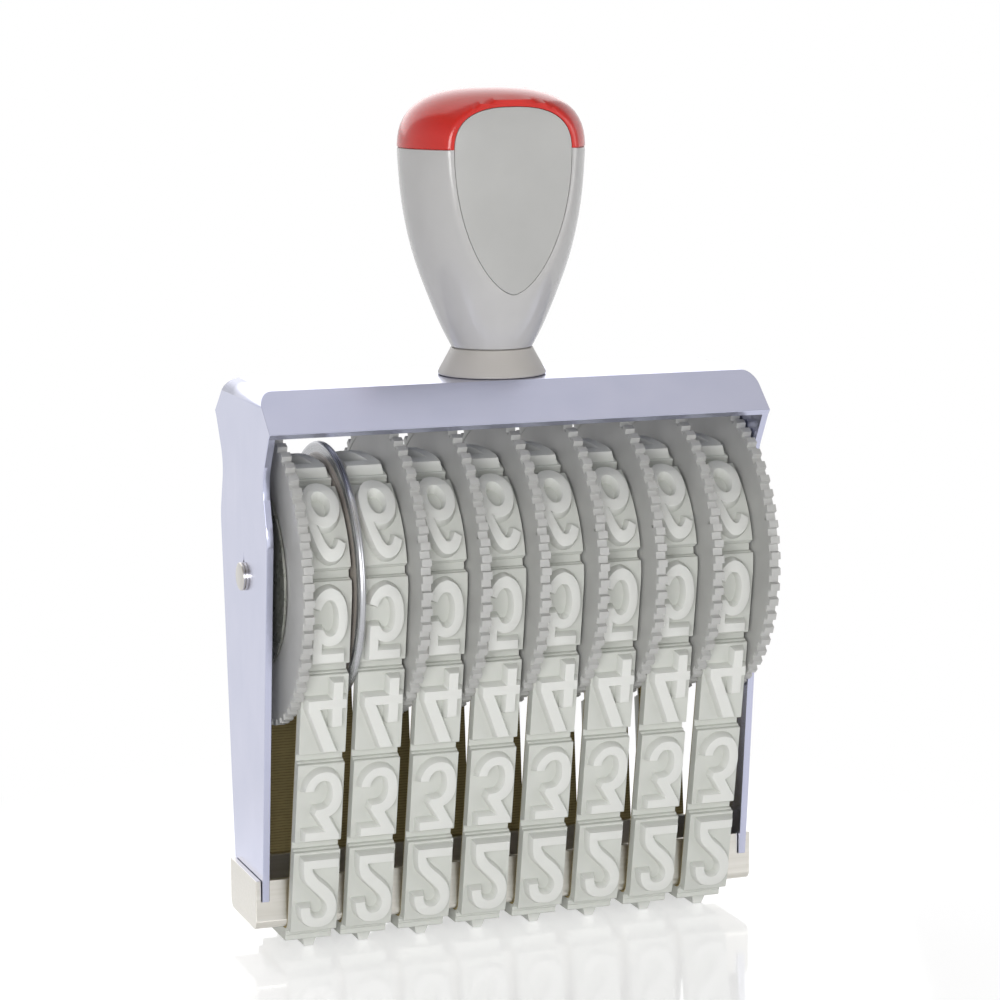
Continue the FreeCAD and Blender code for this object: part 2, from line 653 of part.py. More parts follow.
def build_grip():
    """The turned grip and its crown with one flat facet in front, and the bare label plate let into it."""
    foot, swell = size("grip_foot_radius"), size("grip_radius") - size("grip_foot_radius")
    seam = size("grip_height")
    flank = [(foot + swell * out, seam * up) for up, out in GRIP_SHARES]
    crown = [(size("grip_radius") * (1 - up ** CROWN_EXPONENT) ** (1 / CROWN_EXPONENT),
              seam + size("cap_height") * up) for up in CROWN_SHARES]
    grip_form = turned_in_flats("grip_form", [(0.0, 0.0)] + flank + [(0.0, seam)])
    crown_form = turned_in_flats("crown_form", [(0.0, seam)] + crown)

    facet = doc.addObject("Part::Box", "facet_cut")
    facet.setExpression("Length", "2 * Sizes.grip_radius")
    facet.setExpression("Width", "Sizes.grip_radius")
    facet.setExpression("Height", "Sizes.grip_height + Sizes.cap_height")
    facet.setExpression("Placement.Base.x", "-Sizes.grip_radius")
    facet.setExpression("Placement.Base.y", "-Sizes.facet_distance - Sizes.grip_radius")
    bore = doc.addObject("Part::Cylinder", "grip_bore")
    bore.setExpression("Radius", "Sizes.screw_radius")
    bore.setExpression("Height", "Sizes.screw_reach - Sizes.collar_height")

    floor = "-(Sizes.facet_distance - Sizes.label_thickness)"
    recess = label_block("label_recess", size("label_gap"), "Sizes.label_thickness + Sizes.overrun", floor)
    label = label_block("label_plate", 0.0, "Sizes.label_thickness + Sizes.label_proud", floor)
    bored = combine("Part::Cut", "bored_grip", grip_form, bore)
    body = combine("Part::Cut", "handle_body", combine("Part::Cut", "faceted_grip", bored, facet), recess)
    cap = combine("Part::Cut", "handle_cap", combine("Part::Cut", "faceted_crown", crown_form, facet), recess)
    for piece in (body, cap, label):
        place(piece, height="%s + Sizes.collar_height" % FRAME_HEIGHT)
    return [body, cap, label]


parts = [build_frame(), build_foot_channel(), build_axle(), build_separator(), build_friction_spring()]
parts += [build_wheel(number + 1) for number in range(BAND_COUNT)]
side_view, figure = band_outline(), figure_outline()
parts += [build_band(number + 1, side_view, figure) for number in range(BAND_COUNT)]
parts += build_fastening()
parts += build_grip()
doc.recompute()

for feature in doc.Objects:
    if "Invalid" in feature.State or "Error" in feature.State:
        raise RuntimeError("%s failed: %s" % (feature.Name, feature.State))
os.makedirs("parts", exist_ok=True)
for part in parts:
    if part.Shape.isNull() or not part.Shape.isValid():
        raise RuntimeError("%s has no valid shape" % part.Label)
    part.Shape.exportStep("parts/%s.step" % part.Label)
    print(part.Label, len(part.Shape.Solids), round(part.Shape.Volume, 1), part.Shape.BoundBox)
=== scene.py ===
import math

import bpy
from mathutils import Matrix, Vector


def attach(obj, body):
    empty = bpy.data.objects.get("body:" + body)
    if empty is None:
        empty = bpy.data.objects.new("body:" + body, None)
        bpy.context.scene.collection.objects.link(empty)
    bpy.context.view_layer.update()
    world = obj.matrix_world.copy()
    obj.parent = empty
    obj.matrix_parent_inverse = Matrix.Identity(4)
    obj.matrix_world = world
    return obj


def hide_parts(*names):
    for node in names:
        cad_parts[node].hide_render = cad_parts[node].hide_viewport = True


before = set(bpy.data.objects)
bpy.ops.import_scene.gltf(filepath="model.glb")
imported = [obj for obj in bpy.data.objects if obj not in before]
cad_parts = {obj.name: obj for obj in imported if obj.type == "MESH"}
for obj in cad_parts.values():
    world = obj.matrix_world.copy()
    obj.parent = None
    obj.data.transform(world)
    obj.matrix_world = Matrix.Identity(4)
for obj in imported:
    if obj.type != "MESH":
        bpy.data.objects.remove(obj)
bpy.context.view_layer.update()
MM = 0.001

# Places along the axle and heights, in millimetres, as the frame has them
AXLE_Z, SPACING = 78.7, 12.87
BAND_MIDDLES = [-43.525] + [-31.505 + SPACING * n for n in range(7)]
DISC_MIDDLES = [-49.91] + [-25.07 + SPACING * n for n in range(7)]


# Working by hand

def linear(hex_colour):
    """An sRGB hex colour as Blender's linear red, green, blue and alpha."""
    parts = [int(hex_colour[n:n + 2], 16) / 255 for n in (1, 3, 5)]
    return [c / 12.92 if c <= 0.04045 else ((c + 0.055) / 1.055) ** 2.4 for c in parts] + [1.0]


def drop_selection():
    if bpy.context.object and bpy.context.object.mode != "OBJECT":
        bpy.ops.object.mode_set(mode="OBJECT")
    bpy.ops.object.select_all(action="DESELECT")


def pick(*objects):
    """Select these objects, with the first one active."""
    drop_selection()
    for thing in objects:
        thing.select_set(True)
    bpy.context.view_layer.objects.active = objects[0]
    return objects[0]


def close_mesh(obj):
    """Merge doubles and turn every face outwards."""
    pick(obj)
    bpy.ops.object.mode_set(mode="EDIT")
    bpy.ops.mesh.select_all(action="SELECT")
    bpy.ops.mesh.remove_doubles(threshold=0.004 * MM)
    bpy.ops.mesh.normals_make_consistent(inside=False)
    bpy.ops.object.mode_set(mode="OBJECT")


def settle(obj, name, smooth_angle=35):
    """Name the piece, put its place into its mesh and shade it."""
    pick(obj)
    obj.name = obj.data.name = name
    bpy.ops.object.transform_apply(location=True, rotation=True, scale=True)
    bpy.ops.object.shade_smooth_by_angle(angle=math.radians(smooth_angle))
    return obj


def apply_modifier(obj, kind, **settings):
    pick(obj)
    modifier = obj.modifiers.new(kind.title(), kind)
    for key, value in settings.items():
        setattr(modifier, key, value)
    bpy.ops.object.modifier_apply(modifier=modifier.name)


def soften(obj, width, segments=2, angle=35):
    """A small rounded edge, as moulding or deburring leaves it."""
    apply_modifier(obj, "BEVEL", width=width * MM, segments=segments, limit_method="ANGLE",
                   angle_limit=math.radians(angle), harden_normals=False)


def combine(obj, operation, *tools):
    """Add a tool to a piece or cut it out, and throw the tool away."""
    for tool in tools:
        apply_modifier(obj, "BOOLEAN", operation=operation, object=tool, solver="EXACT")
        bpy.data.objects.remove(tool)


def copy_of(obj, shift):
    """A copy with a mesh of its own, moved along the axle in its mesh."""
    twin = obj.copy()
    twin.data = obj.data.copy()
    bpy.context.collection.objects.link(twin)
    for vertex in twin.data.vertices:
        vertex.co.x += shift * MM
    return twin


def mesh_piece(name, vertices, faces):
    """A piece from points in millimetres."""
    mesh = bpy.data.meshes.new(name)
    mesh.from_pydata([[c * MM for c in v] for v in vertices], [], faces)
    mesh.update()
    piece = bpy.data.objects.new(name, mesh)
    bpy.context.collection.objects.link(piece)
    return piece


def turned(name, profile, x=None, steps=96):
    """Spin a half profile of (radius, along) round the handle's line, or round the axle if x is given."""
    count = len(profile)
    along_axle = x is not None
    points = [(x + a, 0, AXLE_Z + r) if along_axle else (r, 0, a) for r, a in profile]
    piece = mesh_piece(name, points, [])
    piece.data.edges.add(count - 1)
    for n, edge in enumerate(piece.data.edges):
        edge.vertices = (n, n + 1)
    pick(piece)
    bpy.ops.object.mode_set(mode="EDIT")
    bpy.ops.mesh.select_all(action="SELECT")
    bpy.ops.mesh.spin(steps=steps, angle=2 * math.pi, center=(0, 0, AXLE_Z * MM if along_axle else 0),
                      axis=(1, 0, 0) if along_axle else (0, 0, 1))
    bpy.ops.object.mode_set(mode="OBJECT")
    close_mesh(piece)
    return piece


def smooth_line(points, parts=6):
    """A soft curve through given points."""
    line = []
    padded = [points[0]] + points + [points[-1]]
    for a, b, c, d in zip(padded, padded[1:], padded[2:], padded[3:]):
        for n in range(parts):
            t = n / parts
            line.append(tuple(0.5 * (2 * q + (r - p) * t + (2 * p - 5 * q + 4 * r - s) * t ** 2
                                     + (3 * q - p - 3 * r + s) * t ** 3) for p, q, r, s in zip(a, b, c, d)))
    return line + [points[-1]]


# Finishes

def add_node(tree, kind, settings=None, links=None):
    """Add a node, set its sockets or properties and link what feeds it."""
    node = tree.nodes.new("ShaderNode" + kind)
    for key, value in (settings or {}).items():
        if isinstance(key, int) or key in node.inputs:
            node.inputs[key].default_value = value
        else:
            setattr(node, key, value)
    for socket, source in (links or {}).items():
        tree.links.new(source, node.inputs[socket])
    return node


def finish_base(name, colour, roughness, metallic=0.0, ior=1.5):
    """A Principled surface with its plain numbers on its own sockets."""
    material = bpy.data.materials.new(name)
    material.use_nodes = True
    tree = material.node_tree
    shader = tree.nodes["Principled BSDF"]
    shader.inputs["Base Color"].default_value = linear(colour)
    shader.inputs["Roughness"].default_value = roughness
    shader.inputs["Metallic"].default_value = metallic
    if not metallic:
        shader.inputs["IOR"].default_value = ior
    material.diffuse_color = linear(colour)
    place = add_node(tree, "TexCoord")
    return material, tree, shader, place.outputs["Object"]


def grain(tree, place, size_mm, stretch=(1, 1, 1), detail=3.0):
    """Noise whose blobs are about so many millimetres across."""
    mapping = add_node(tree, "Mapping", {"Scale": stretch}, {"Vector": place})
    noise = add_node(tree, "TexNoise", {"Scale": 1 / (size_mm * MM), "Detail": detail},
                     {"Vector": mapping.outputs["Vector"]})
    return noise.outputs["Fac"]


def seen_rays(tree):
    """1 for rays from the camera and those that polished surfaces mirror, 0 for soft light."""
    rays = add_node(tree, "LightPath")
    both = add_node(tree, "Math", {"operation": "MAXIMUM"},
                    {0: rays.outputs["Is Camera Ray"], 1: rays.outputs["Is Glossy Ray"]})
    return add_node(tree, "Math", {"operation": "MAXIMUM"},
                    {0: both.outputs["Value"], 1: rays.outputs["Is Transmission Ray"]}).outputs["Value"]


def tint(tree, factor, low, high, start=0.3, end=0.7):
    """Two shades mixed by a pattern."""
    ramp = add_node(tree, "ValToRGB", None, {"Fac": factor})
    ramp.color_ramp.elements[0].position, ramp.color_ramp.elements[1].position = start, end
    ramp.color_ramp.elements[0].color, ramp.color_ramp.elements[1].color = linear(low), linear(high)
    return ramp.outputs["Color"]


def vary(tree, factor, low, high):
    """A pattern stretched to run between two plain numbers."""
    return add_node(tree, "MapRange", {"To Min": low, "To Max": high}, {"Value": factor}).outputs["Result"]


def relief(tree, shader, height, depth_mm, strength):
    """A pattern as fine unevenness of the surface."""
    bump = add_node(tree, "Bump", {"Distance": depth_mm * MM, "Strength": strength}, {"Height": height})
    tree.links.new(bump.outputs["Normal"], shader.inputs["Normal"])


def polished_nickel_sheet():
    """Nickel-plated steel sheet, rolled and polished: a soft mirror, a little blue, faintly streaked."""
    material, tree, shader, place = finish_base("nickel_plated_sheet", "#c4c7dc", 0.2, metallic=1.0)
    streaks = grain(tree, place, 1.4, (0.05, 1, 0.05), 3)
    tree.links.new(vary(tree, streaks, 0.17, 0.27), shader.inputs["Roughness"])
    tree.links.new(tint(tree, grain(tree, place, 14), "#c1c4da", "#c7c9de"), shader.inputs["Base Color"])
    relief(tree, shader, streaks, 0.004, 0.1)
    return material


def satin_nickel_sheet():
    """Thicker nickel on the foot: a warmer, softer sheen with a fine brushed grain."""
    material, tree, shader, place = finish_base("satin_nickel_sheet", "#d3d1cb", 0.3, metallic=1.0)
    streaks = grain(tree, place, 0.6, (0.04, 1, 1), 4)
    tree.links.new(vary(tree, streaks, 0.26, 0.38), shader.inputs["Roughness"])
    tree.links.new(tint(tree, streaks, "#cfccc4", "#d8d5cf"), shader.inputs["Base Color"])
    relief(tree, shader, streaks, 0.008, 0.15)
    return material


def bright_turned_steel():
    """Turned bright steel: rings of tool marks round the axis and a sharp highlight."""
    material, tree, shader, place = finish_base("bright_turned_steel", "#c9c6c2", 0.22, metallic=1.0)
    marks = grain(tree, place, 0.4, (1, 0.2, 0.2), 2)
    tree.links.new(vary(tree, marks, 0.16, 0.3), shader.inputs["Roughness"])
    relief(tree, shader, marks, 0.02, 0.2)
    return material


def blued_spring_steel():
    """Blued spring steel: dark and oily, with a cold sheen."""
    material, tree, shader, place = finish_base("blued_spring_steel", "#8f918b", 0.34, metallic=0.6)
    bloom = grain(tree, place, 3)
    tree.links.new(tint(tree, bloom, "#85877f", "#9a9b94"), shader.inputs["Base Color"])
    tree.links.new(vary(tree, bloom, 0.2, 0.36), shader.inputs["Roughness"])
    return material


def moulded_abs(name, colour, shade, roughness, texture_mm=0.3):
    """Injection-moulded ABS: one even colour, a fine mould texture and a soft sheen."""
    material, tree, shader, place = finish_base(name, colour, roughness, ior=1.52)
    cloud = grain(tree, place, 9, detail=2)
    tree.links.new(tint(tree, cloud, shade, colour), shader.inputs["Base Color"])
    skin = grain(tree, place, texture_mm, detail=2)
    tree.links.new(vary(tree, skin, roughness - 0.04, roughness + 0.05), shader.inputs["Roughness"])
    relief(tree, shader, skin, 0.01, 0.4 * roughness)
    return material


def pale_stamp_rubber():
    """Moulded stamp rubber: matte, slightly green-grey, with painted light making the top faces of its
    figures paler.
    """
    material, tree, shader, place = finish_base("pale_stamp_rubber", "#d6d7d1", 0.6, ior=1.5)
    talc = grain(tree, place, 5, detail=4)
    # Painted highlight: the higher a point stands on a figure, the paler the rubber is coloured there, so
    # the figure tops read as lit.
    painted_top_light = add_node(tree, "Attribute", {"attribute_name": "figure_top"}).outputs["Fac"]
    paler = add_node(tree, "Math", {"operation": "MULTIPLY_ADD", 1: 0.3},
                     {0: talc, 2: painted_top_light}).outputs["Value"]
    tree.links.new(tint(tree, paler, "#ced0ca", "#e3e4e0", 0.05, 1.15), shader.inputs["Base Color"])
    tooth = grain(tree, place, 0.25, detail=2)
    tree.links.new(vary(tree, tooth, 0.55, 0.7), shader.inputs["Roughness"])
    relief(tree, shader, tooth, 0.02, 0.25)
    return material


RIB_SPACING = 0.6


def brown_woven_canvas():
    """Waxed cotton canvas under the rubber, with ribs of weft across the belt."""
    material, tree, shader, place = finish_base("brown_woven_canvas", "#958656", 0.85, ior=1.45)
    weft = {"Scale": math.pi / 10 / (RIB_SPACING * MM), "Distortion": 0.8, "Detail": 1.0,
            "bands_direction": "Z"}
    ribs = add_node(tree, "TexWave", weft, {"Vector": place}).outputs["Fac"]
    thread = grain(tree, place, 0.5, (0.4, 1, 1), 3)
    both = add_node(tree, "Math", {"operation": "ADD"}, {0: ribs, 1: thread}).outputs["Value"]
    tree.links.new(tint(tree, both, "#84754a", "#a39466", 0.4, 1.3), shader.inputs["Base Color"])
    relief(tree, shader, both, 0.04, 0.3)
    return material


# The separator's metal rim begins between these radii
WEB_END, RIM_START = 24.6, 25.2


def rimmed_separator():
    """A pale cream web with a polished grey metal rim, finely drawn along its turn."""
    material, tree, shader, place = finish_base("rimmed_separator", "#cfc6bd", 0.3, ior=1.5)
    axes = add_node(tree, "SeparateXYZ", None, {"Vector": place})
    height = add_node(tree, "Math", {"operation": "SUBTRACT", 1: AXLE_Z * MM}, {0: axes.outputs["Z"]})
    across = add_node(tree, "CombineXYZ", None, {"Y": axes.outputs["Y"], "Z": height.outputs["Value"]})
    radius = add_node(tree, "VectorMath", {"operation": "LENGTH"}, {"Vector": across.outputs["Vector"]})
    rim = add_node(tree, "MapRange", {"From Min": WEB_END * MM, "From Max": RIM_START * MM},
                   {"Value": radius.outputs["Value"]}).outputs["Result"]
    drawn = add_node(tree, "CombineXYZ", None, {"X": radius.outputs["Value"], "Y": axes.outputs["X"]})
    lines = grain(tree, drawn.outputs["Vector"], 0.12, detail=2)
    tree.links.new(tint(tree, rim, "#cfc6bf", "#bcbdc1", 0.0, 1.0), shader.inputs["Base Color"])
    tree.links.new(vary(tree, rim, 0.0, 0.9), shader.inputs["Metallic"])
    tree.links.new(vary(tree, lines, 0.2, 0.36), shader.inputs["Roughness"])
    return material


SHEET, FOOT_SHEET, TURNED_STEEL, SPRING_STEEL = (
    polished_nickel_sheet(), satin_nickel_sheet(), bright_turned_steel(), blued_spring_steel())
WHEEL_ABS = moulded_abs("pale_grey_wheel_abs", "#c0c0be", "#b8b8b6", 0.42)
GRIP_ABS = moulded_abs("light_grey_handle_abs", "#c0bfbe", "#bcbbba", 0.16, 0.6)
CAP_ABS = moulded_abs("red_handle_abs", "#d0241a", "#c91f16", 0.19, 0.6)
LABEL_ABS = moulded_abs("grey_label_abs", "#b6b6b4", "#b2b2b0", 0.4)
COLLAR_ABS = moulded_abs("warm_grey_collar_abs", "#bfbbb7", "#bab6b1", 0.36)
RUBBER, CANVAS, SEPARATOR = pale_stamp_rubber(), brown_woven_canvas(), rimmed_separator()


def dress(piece, material, body="stamp", replaced=()):
    """Give a piece its finish, its body and the nodes that it stands for."""
    piece.data.materials.clear()
    piece.data.materials.append(material)
    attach(piece, body)
    if replaced:
        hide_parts(*replaced)


# The number bands

# The band lies on its wheel's drum, runs straight down to two rounded corners and flat under the foot.
# Its length is measured in the middle of the belt.
WHEEL_R, CORNER_R, BELT = 20.0, 2.1, 1.0
CORNER_Y, CORNER_Z, SOLE_Z = 8.05, 7.1, 5.0
PADS, BAND_WIDTH, CANVAS_WIDTH = 12, 10.0, 9.9
CANVAS_IN, CANVAS_OUT = 0.02, 0.38
reach = math.hypot(CORNER_Y, AXLE_Z - CORNER_Z)
RUN = math.sqrt(reach ** 2 - (WHEEL_R - CORNER_R) ** 2)
LEAN = math.asin((WHEEL_R - CORNER_R) / reach) - math.atan2(CORNER_Y, AXLE_Z - CORNER_Z)
DOWN, FRONT, BACK = 1.5 * math.pi, math.pi + LEAN, -LEAN
NEUTRAL = BELT / 2
stretches = [
    (CORNER_Y, (0, SOLE_Z), 0, DOWN),
    ((DOWN - FRONT) * (CORNER_R + NEUTRAL), (-CORNER_Y, CORNER_Z), CORNER_R, DOWN),
    (RUN, (-CORNER_Y + CORNER_R * math.cos(FRONT), CORNER_Z + CORNER_R * math.sin(FRONT)), 0, FRONT),
    ((FRONT - BACK) * (WHEEL_R + NEUTRAL), (0, AXLE_Z), WHEEL_R, FRONT),
    (RUN, (WHEEL_R * math.cos(BACK), AXLE_Z + WHEEL_R * math.sin(BACK)), 0, BACK),
    ((BACK - DOWN + 2 * math.pi) * (CORNER_R + NEUTRAL), (CORNER_Y, CORNER_Z), CORNER_R, BACK),
    (CORNER_Y, (CORNER_Y, SOLE_Z), 0, DOWN),
]
LOOP = sum(stretch[0] for stretch in stretches)
PITCH = LOOP / PADS


def on_loop(along, height):
    """Where a point of the flat band lies once the band runs round its wheel and the foot."""
    along %= LOOP
    for length, point, radius, angle in stretches:
        if along <= length:
            break
        along -= length
    if radius:
        angle -= along / (radius + NEUTRAL)
        reached = radius + height
        return point[0] + reached * math.cos(angle), point[1] + reached * math.sin(angle)
    ny, nz = math.cos(angle), math.sin(angle)
    return point[0] + along * nz + height * ny, point[1] - along * ny + height * nz


def flat_shape(name, outlines, depth, bevel, rounds=1, inset=1):
    """Draw closed outlines as a flat curve, give them thickness and bevelled edges, and make them a mesh."""
    curve = bpy.data.curves.new(name, "CURVE")
    curve.dimensions, curve.fill_mode = "2D", "BOTH"
    for outline in outlines:
        spline = curve.splines.new("POLY")
        spline.points.add(len(outline) - 1)
        for point, (u, v) in zip(spline.points, outline):
            point.co = (u * MM, v * MM, 0, 1)
        spline.use_cyclic_u = True
    curve.extrude, curve.bevel_depth = (depth / 2 - bevel) * MM, bevel * MM
    curve.bevel_resolution = rounds
    curve.offset = -bevel * inset * MM
    piece = bpy.data.objects.new(name, curve)
    bpy.context.collection.objects.link(piece)
    pick(piece)
    bpy.ops.object.convert(target="MESH")
    return bpy.context.object


def along_steps(start, end, step=0.9):
    """Places from the start up to, but not at, the end, so close that the band bends smoothly."""
    count = max(1, math.ceil((end - start) / step))
    return [start + (end - start) * n / count for n in range(count)]


# One pitch of the band from the middle of a groove: a stepped groove and a soft-edged pad
HALF_PITCH, GROOVE = PITCH / 2, 1.0
pad_profile = [(-HALF_PITCH, GROOVE), (-9.0, GROOVE), (-8.94, 1.75), (-8.78, 1.95), (-8.66, 2.0),
               (-8.6, 2.85), (-8.45, 3.0), (8.45, 3.0), (8.6, 2.85),
               (8.66, 2.0), (8.78, 1.95), (8.94, 1.75), (9.0, GROOVE)]
outside, inside, canvas_top = [], [], []
for pad_number in range(PADS):
    middle = pad_number * PITCH
    for (along, height), (end, end_height) in zip(pad_profile, pad_profile[1:] + [(HALF_PITCH, GROOVE)]):
        for s in along_steps(along, end):
            part = (s - along) / (end - along)
            outside.append(on_loop(middle + s, height + (end_height - height) * part))
for s in along_steps(0, LOOP):
    inside.append(on_loop(s, CANVAS_IN))
    canvas_top.append(on_loop(s, CANVAS_OUT))


def stand_across(piece):
    """Turn a flat side view so that it stands across the axle: drawn (u, v) becomes (Y, Z)."""
    pick(piece)
    piece.matrix_world = Matrix(((0, 0, 1, 0), (1, 0, 0, 0), (0, 1, 0, 0), (0, 0, 0, 1)))
    bpy.ops.object.transform_apply(location=True, rotation=True, scale=True)
    return piece


# Heights of a figure's top and root over the belt, how far its sides slope out, and the rows it bends in
TOP, ROOT, DRAFT, ROW_STEP = 5.0, 2.9, 0.6, 1.15


def bow(cx, cy, rx, ry, start, end, step=12):
    """Points of an elliptical bow, by its angles in degrees."""
    count = max(2, round(abs(end - start) / step))
    return [(cx + rx * math.cos(math.radians(start + (end - start) * n / count)),
             cy + ry * math.sin(math.radians(start + (end - start) * n / count))) for n in range(count + 1)]


def turned_over(outlines):
    """The same figure upside down, as a nine is to a six."""
    return [[(-x, -y) for x, y in line] for line in outlines]


def soft(*points):
    """A soft stretch of an outline through a few points."""
    return smooth_line(list(points), 3)


# The figures as they read on paper: the outline of each flat top, from the middle of its pad
six = [soft((-1.75, 1.1), (-0.9, 1.5), (0.1, 1.62), (1.3, 1.35), (2.5, 0.5), (3.4, -0.9), (3.8, -2.6),
            (3.75, -4.2), (3.2, -5.7), (2.2, -6.8), (1.0, -7.35), (-0.1, -7.5), (-1.4, -7.2), (-2.6, -6.2),
            (-3.5, -4.6), (-3.85, -2.7), (-3.75, -0.6), (-3.3, 1.8), (-2.6, 4.2), (-1.7, 6.2), (-0.6, 7.25),
            (0.5, 7.5), (1.8, 7.2), (3.0, 6.2), (3.75, 4.6)) +
       soft((2.3, 3.8), (1.9, 4.6), (1.2, 5.3), (0.4, 5.3), (-0.4, 4.4), (-1.1, 2.9), (-1.7, 1.15))[:-1],
       bow(-0.05, -2.95, 1.95, 2.6, 0, 345)]
FIGURES = {
    "0": [bow(0, 0, 3.8, 7.5, 0, 352, 8), bow(0, 0, 1.9, 5.6, 0, 350, 10)],
    "1": [[(-0.45, -7.5), (1.5, -7.5), (1.5, 7.5), (-0.1, 7.5), (-2.6, 5.2), (-2.1, 3.7), (-0.45, 4.9)]],
    "2": [[(-3.4, -7.5), (4.1, -7.5), (4.1, -5.65)] +
          soft((-1.5, -5.65), (-1.3, -4.7), (-0.2, -3.1), (1.8, -1.3), (3.3, 0.5), (4.0, 2.3), (4.1, 3.8),
               (3.7, 5.5), (2.7, 6.9), (1.3, 7.45), (0.0, 7.5), (-1.6, 7.2), (-2.9, 6.1), (-3.5, 4.6),
               (-3.7, 3.0)) +
          soft((-1.65, 3.0), (-1.5, 4.2), (-0.9, 5.2), (0.2, 5.6), (1.3, 5.3), (1.9, 4.4), (2.05, 3.3),
               (1.6, 2.1), (0.6, 0.85), (-1.05, -0.8), (-2.5, -2.4), (-3.25, -4.2), (-3.4, -7.45))[:-1]],
    "3": [[(-3.4, 7.5), (3.9, 7.5), (3.9, 6.6)] +
          soft((1.45, 2.4), (2.6, 1.7), (3.5, 0.6), (4.0, -0.9), (4.1, -2.3), (3.9, -4.2), (3.2, -5.9),
               (2.0, -7.1), (0.4, -7.5), (-1.3, -7.2), (-2.8, -6.0), (-3.6, -4.5), (-3.75, -3.5)) +
          soft((-1.95, -3.4), (-1.6, -4.5), (-0.8, -5.4), (0.3, -5.65), (1.3, -5.2), (1.9, -4.0),
               (2.05, -2.4), (1.8, -0.9), (1.0, 0.2), (0.0, 0.6), (-1.3, 0.7)) +
          [(-1.6, 1.7), (0.95, 5.7), (-3.4, 5.7)]],
    "4": [[(-3.95, -3.8), (1.25, -3.8), (1.25, -7.5), (3.3, -7.5), (3.3, -3.8), (4.15, -3.8), (4.15, -1.85),
           (3.3, -1.85), (3.3, 2.1), (1.25, 2.1), (1.25, -1.85), (-1.5, -1.85), (2.45, 7.5), (-0.15, 7.5),
           (-3.95, -1.85)]],
    "5": [[(-3.5, 7.5), (3.1, 7.5), (3.1, 5.65), (-1.65, 5.65)] +
          soft((-1.65, 3.3), (-0.9, 3.75), (0.3, 3.9), (1.8, 3.4), (2.9, 2.0), (3.5, 0.0), (3.55, -2.4),
               (3.05, -4.9), (2.0, -6.5), (0.6, -7.35), (-0.4, -7.5), (-1.95, -7.0), (-3.2, -5.8),
               (-3.85, -4.4)) +
          soft((-2.2, -3.8), (-1.6, -4.9), (-0.6, -5.5), (0.5, -5.25), (1.3, -4.1), (1.7, -2.2), (1.6, 0.0),
               (1.05, 1.4), (0.1, 1.9), (-0.8, 1.6)) + [(-1.65, 0.3), (-3.5, 0.3)]],
    "6": six,
    "7": [[(-3.6, 7.5), (3.9, 7.5), (3.9, 6.2), (-0.1, -7.5), (-2.3, -7.5), (1.5, 5.65), (-3.6, 5.65)]],
    "8": [bow(0, 3.75, 3.4, 3.75, -52, 232, 10) + bow(0, -3.25, 3.8, 4.25, 130, 410, 10),
          bow(0, 3.7, 1.6, 1.95, 0, 345), bow(0, -3.35, 1.95, 2.35, 0, 345)],
    "9": turned_over(six),
}


def raised_figure(figure, pad_number):
    """A drafted figure in mirror writing on its pad, cut across in rows so that it bends with the band."""
    piece = flat_shape("figure", FIGURES[figure], 2 * DRAFT, DRAFT, 0, 0)
    piece.scale.z = (TOP - ROOT) / DRAFT
    bpy.ops.object.transform_apply(location=False, rotation=False, scale=True)
    close_mesh(piece)
    soften(piece, 0.09, 2, 38)
    bpy.ops.object.mode_set(mode="EDIT")
    bpy.ops.mesh.select_all(action="SELECT")
    bpy.ops.mesh.bisect(plane_co=(0, 0, 0), plane_no=(0, 0, 1), clear_inner=True)
    for row in range(-6, 7):
        bpy.ops.mesh.select_all(action="SELECT")
        bpy.ops.mesh.bisect(plane_co=(0, ROW_STEP * row * MM, 0), plane_no=(0, 1, 0))
    bpy.ops.object.mode_set(mode="OBJECT")
    # Painted light: each point keeps how high it stands on the figure, and the rubber colours the top faces
    # paler by it.
    painted_top_light = piece.data.attributes.new("figure_top", "FLOAT", "POINT")
    for vertex, share in zip(piece.data.vertices, painted_top_light.data):
        x, y, rise = vertex.co / MM
        share.value = (rise / (TOP - ROOT)) ** 3
        place = on_loop(pad_number * PITCH - y, ROOT + rise)
        vertex.co = (x * MM, place[0] * MM, place[1] * MM)
    close_mesh(piece)
    return piece


def make_rubber():
    """The rubber of a band: twelve pads, ten of them with a figure, the 1 on the stamping face."""
    rubber = stand_across(flat_shape("band", [outside, canvas_top], BAND_WIDTH, 0.12))
    figures = [raised_figure(figure, number) for number, figure in enumerate("1234567890")]
    pick(rubber, *figures)
    bpy.ops.object.join()
    return settle(rubber, "rubber_band_1", 20)


def make_canvas():
    """The woven backing inside the rubber."""
    canvas = stand_across(flat_shape("canvas", [canvas_top, inside], CANVAS_WIDTH, 0.05))
    return settle(canvas, "canvas_backing_1", 40)


LEFT_AT_FOOT = 1.3


def lean_left(piece):
    """Loose bands run a little to the left on their way down to the foot."""
    for vertex in piece.data.vertices:
        vertex.co.x -= LEFT_AT_FOOT * MM * max(0.0, 1 - vertex.co.z / MM / AXLE_Z) ** 1.3


first_rubber, first_canvas = make_rubber(), make_canvas()
for number, middle in enumerate(BAND_MIDDLES, 1):
    rubber, canvas = copy_of(first_rubber, middle), copy_of(first_canvas, middle)
    for piece, kind in ((rubber, "rubber_band"), (canvas, "canvas_backing")):
        lean_left(piece)
        piece.name = piece.data.name = "%s_of_%d" % (kind, number)
    dress(rubber, RUBBER, replaced=["band_%d" % number])
    dress(canvas, CANVAS)
for original in (first_rubber, first_canvas):
    bpy.data.objects.remove(original)


# The thumb wheels

TEETH, TIP_R, GULLET_R, DRUM_R, BORE_R = 58, 31.42, 30.3, 19.7, 2.58
DISC_HALF, DISH_R, DISH_DEPTH, CUTTER = 1.05, 29.3, 0.1, 0.5
DRUM_WIDTH, DRUM_OVERLAP = 10.67, 0.135


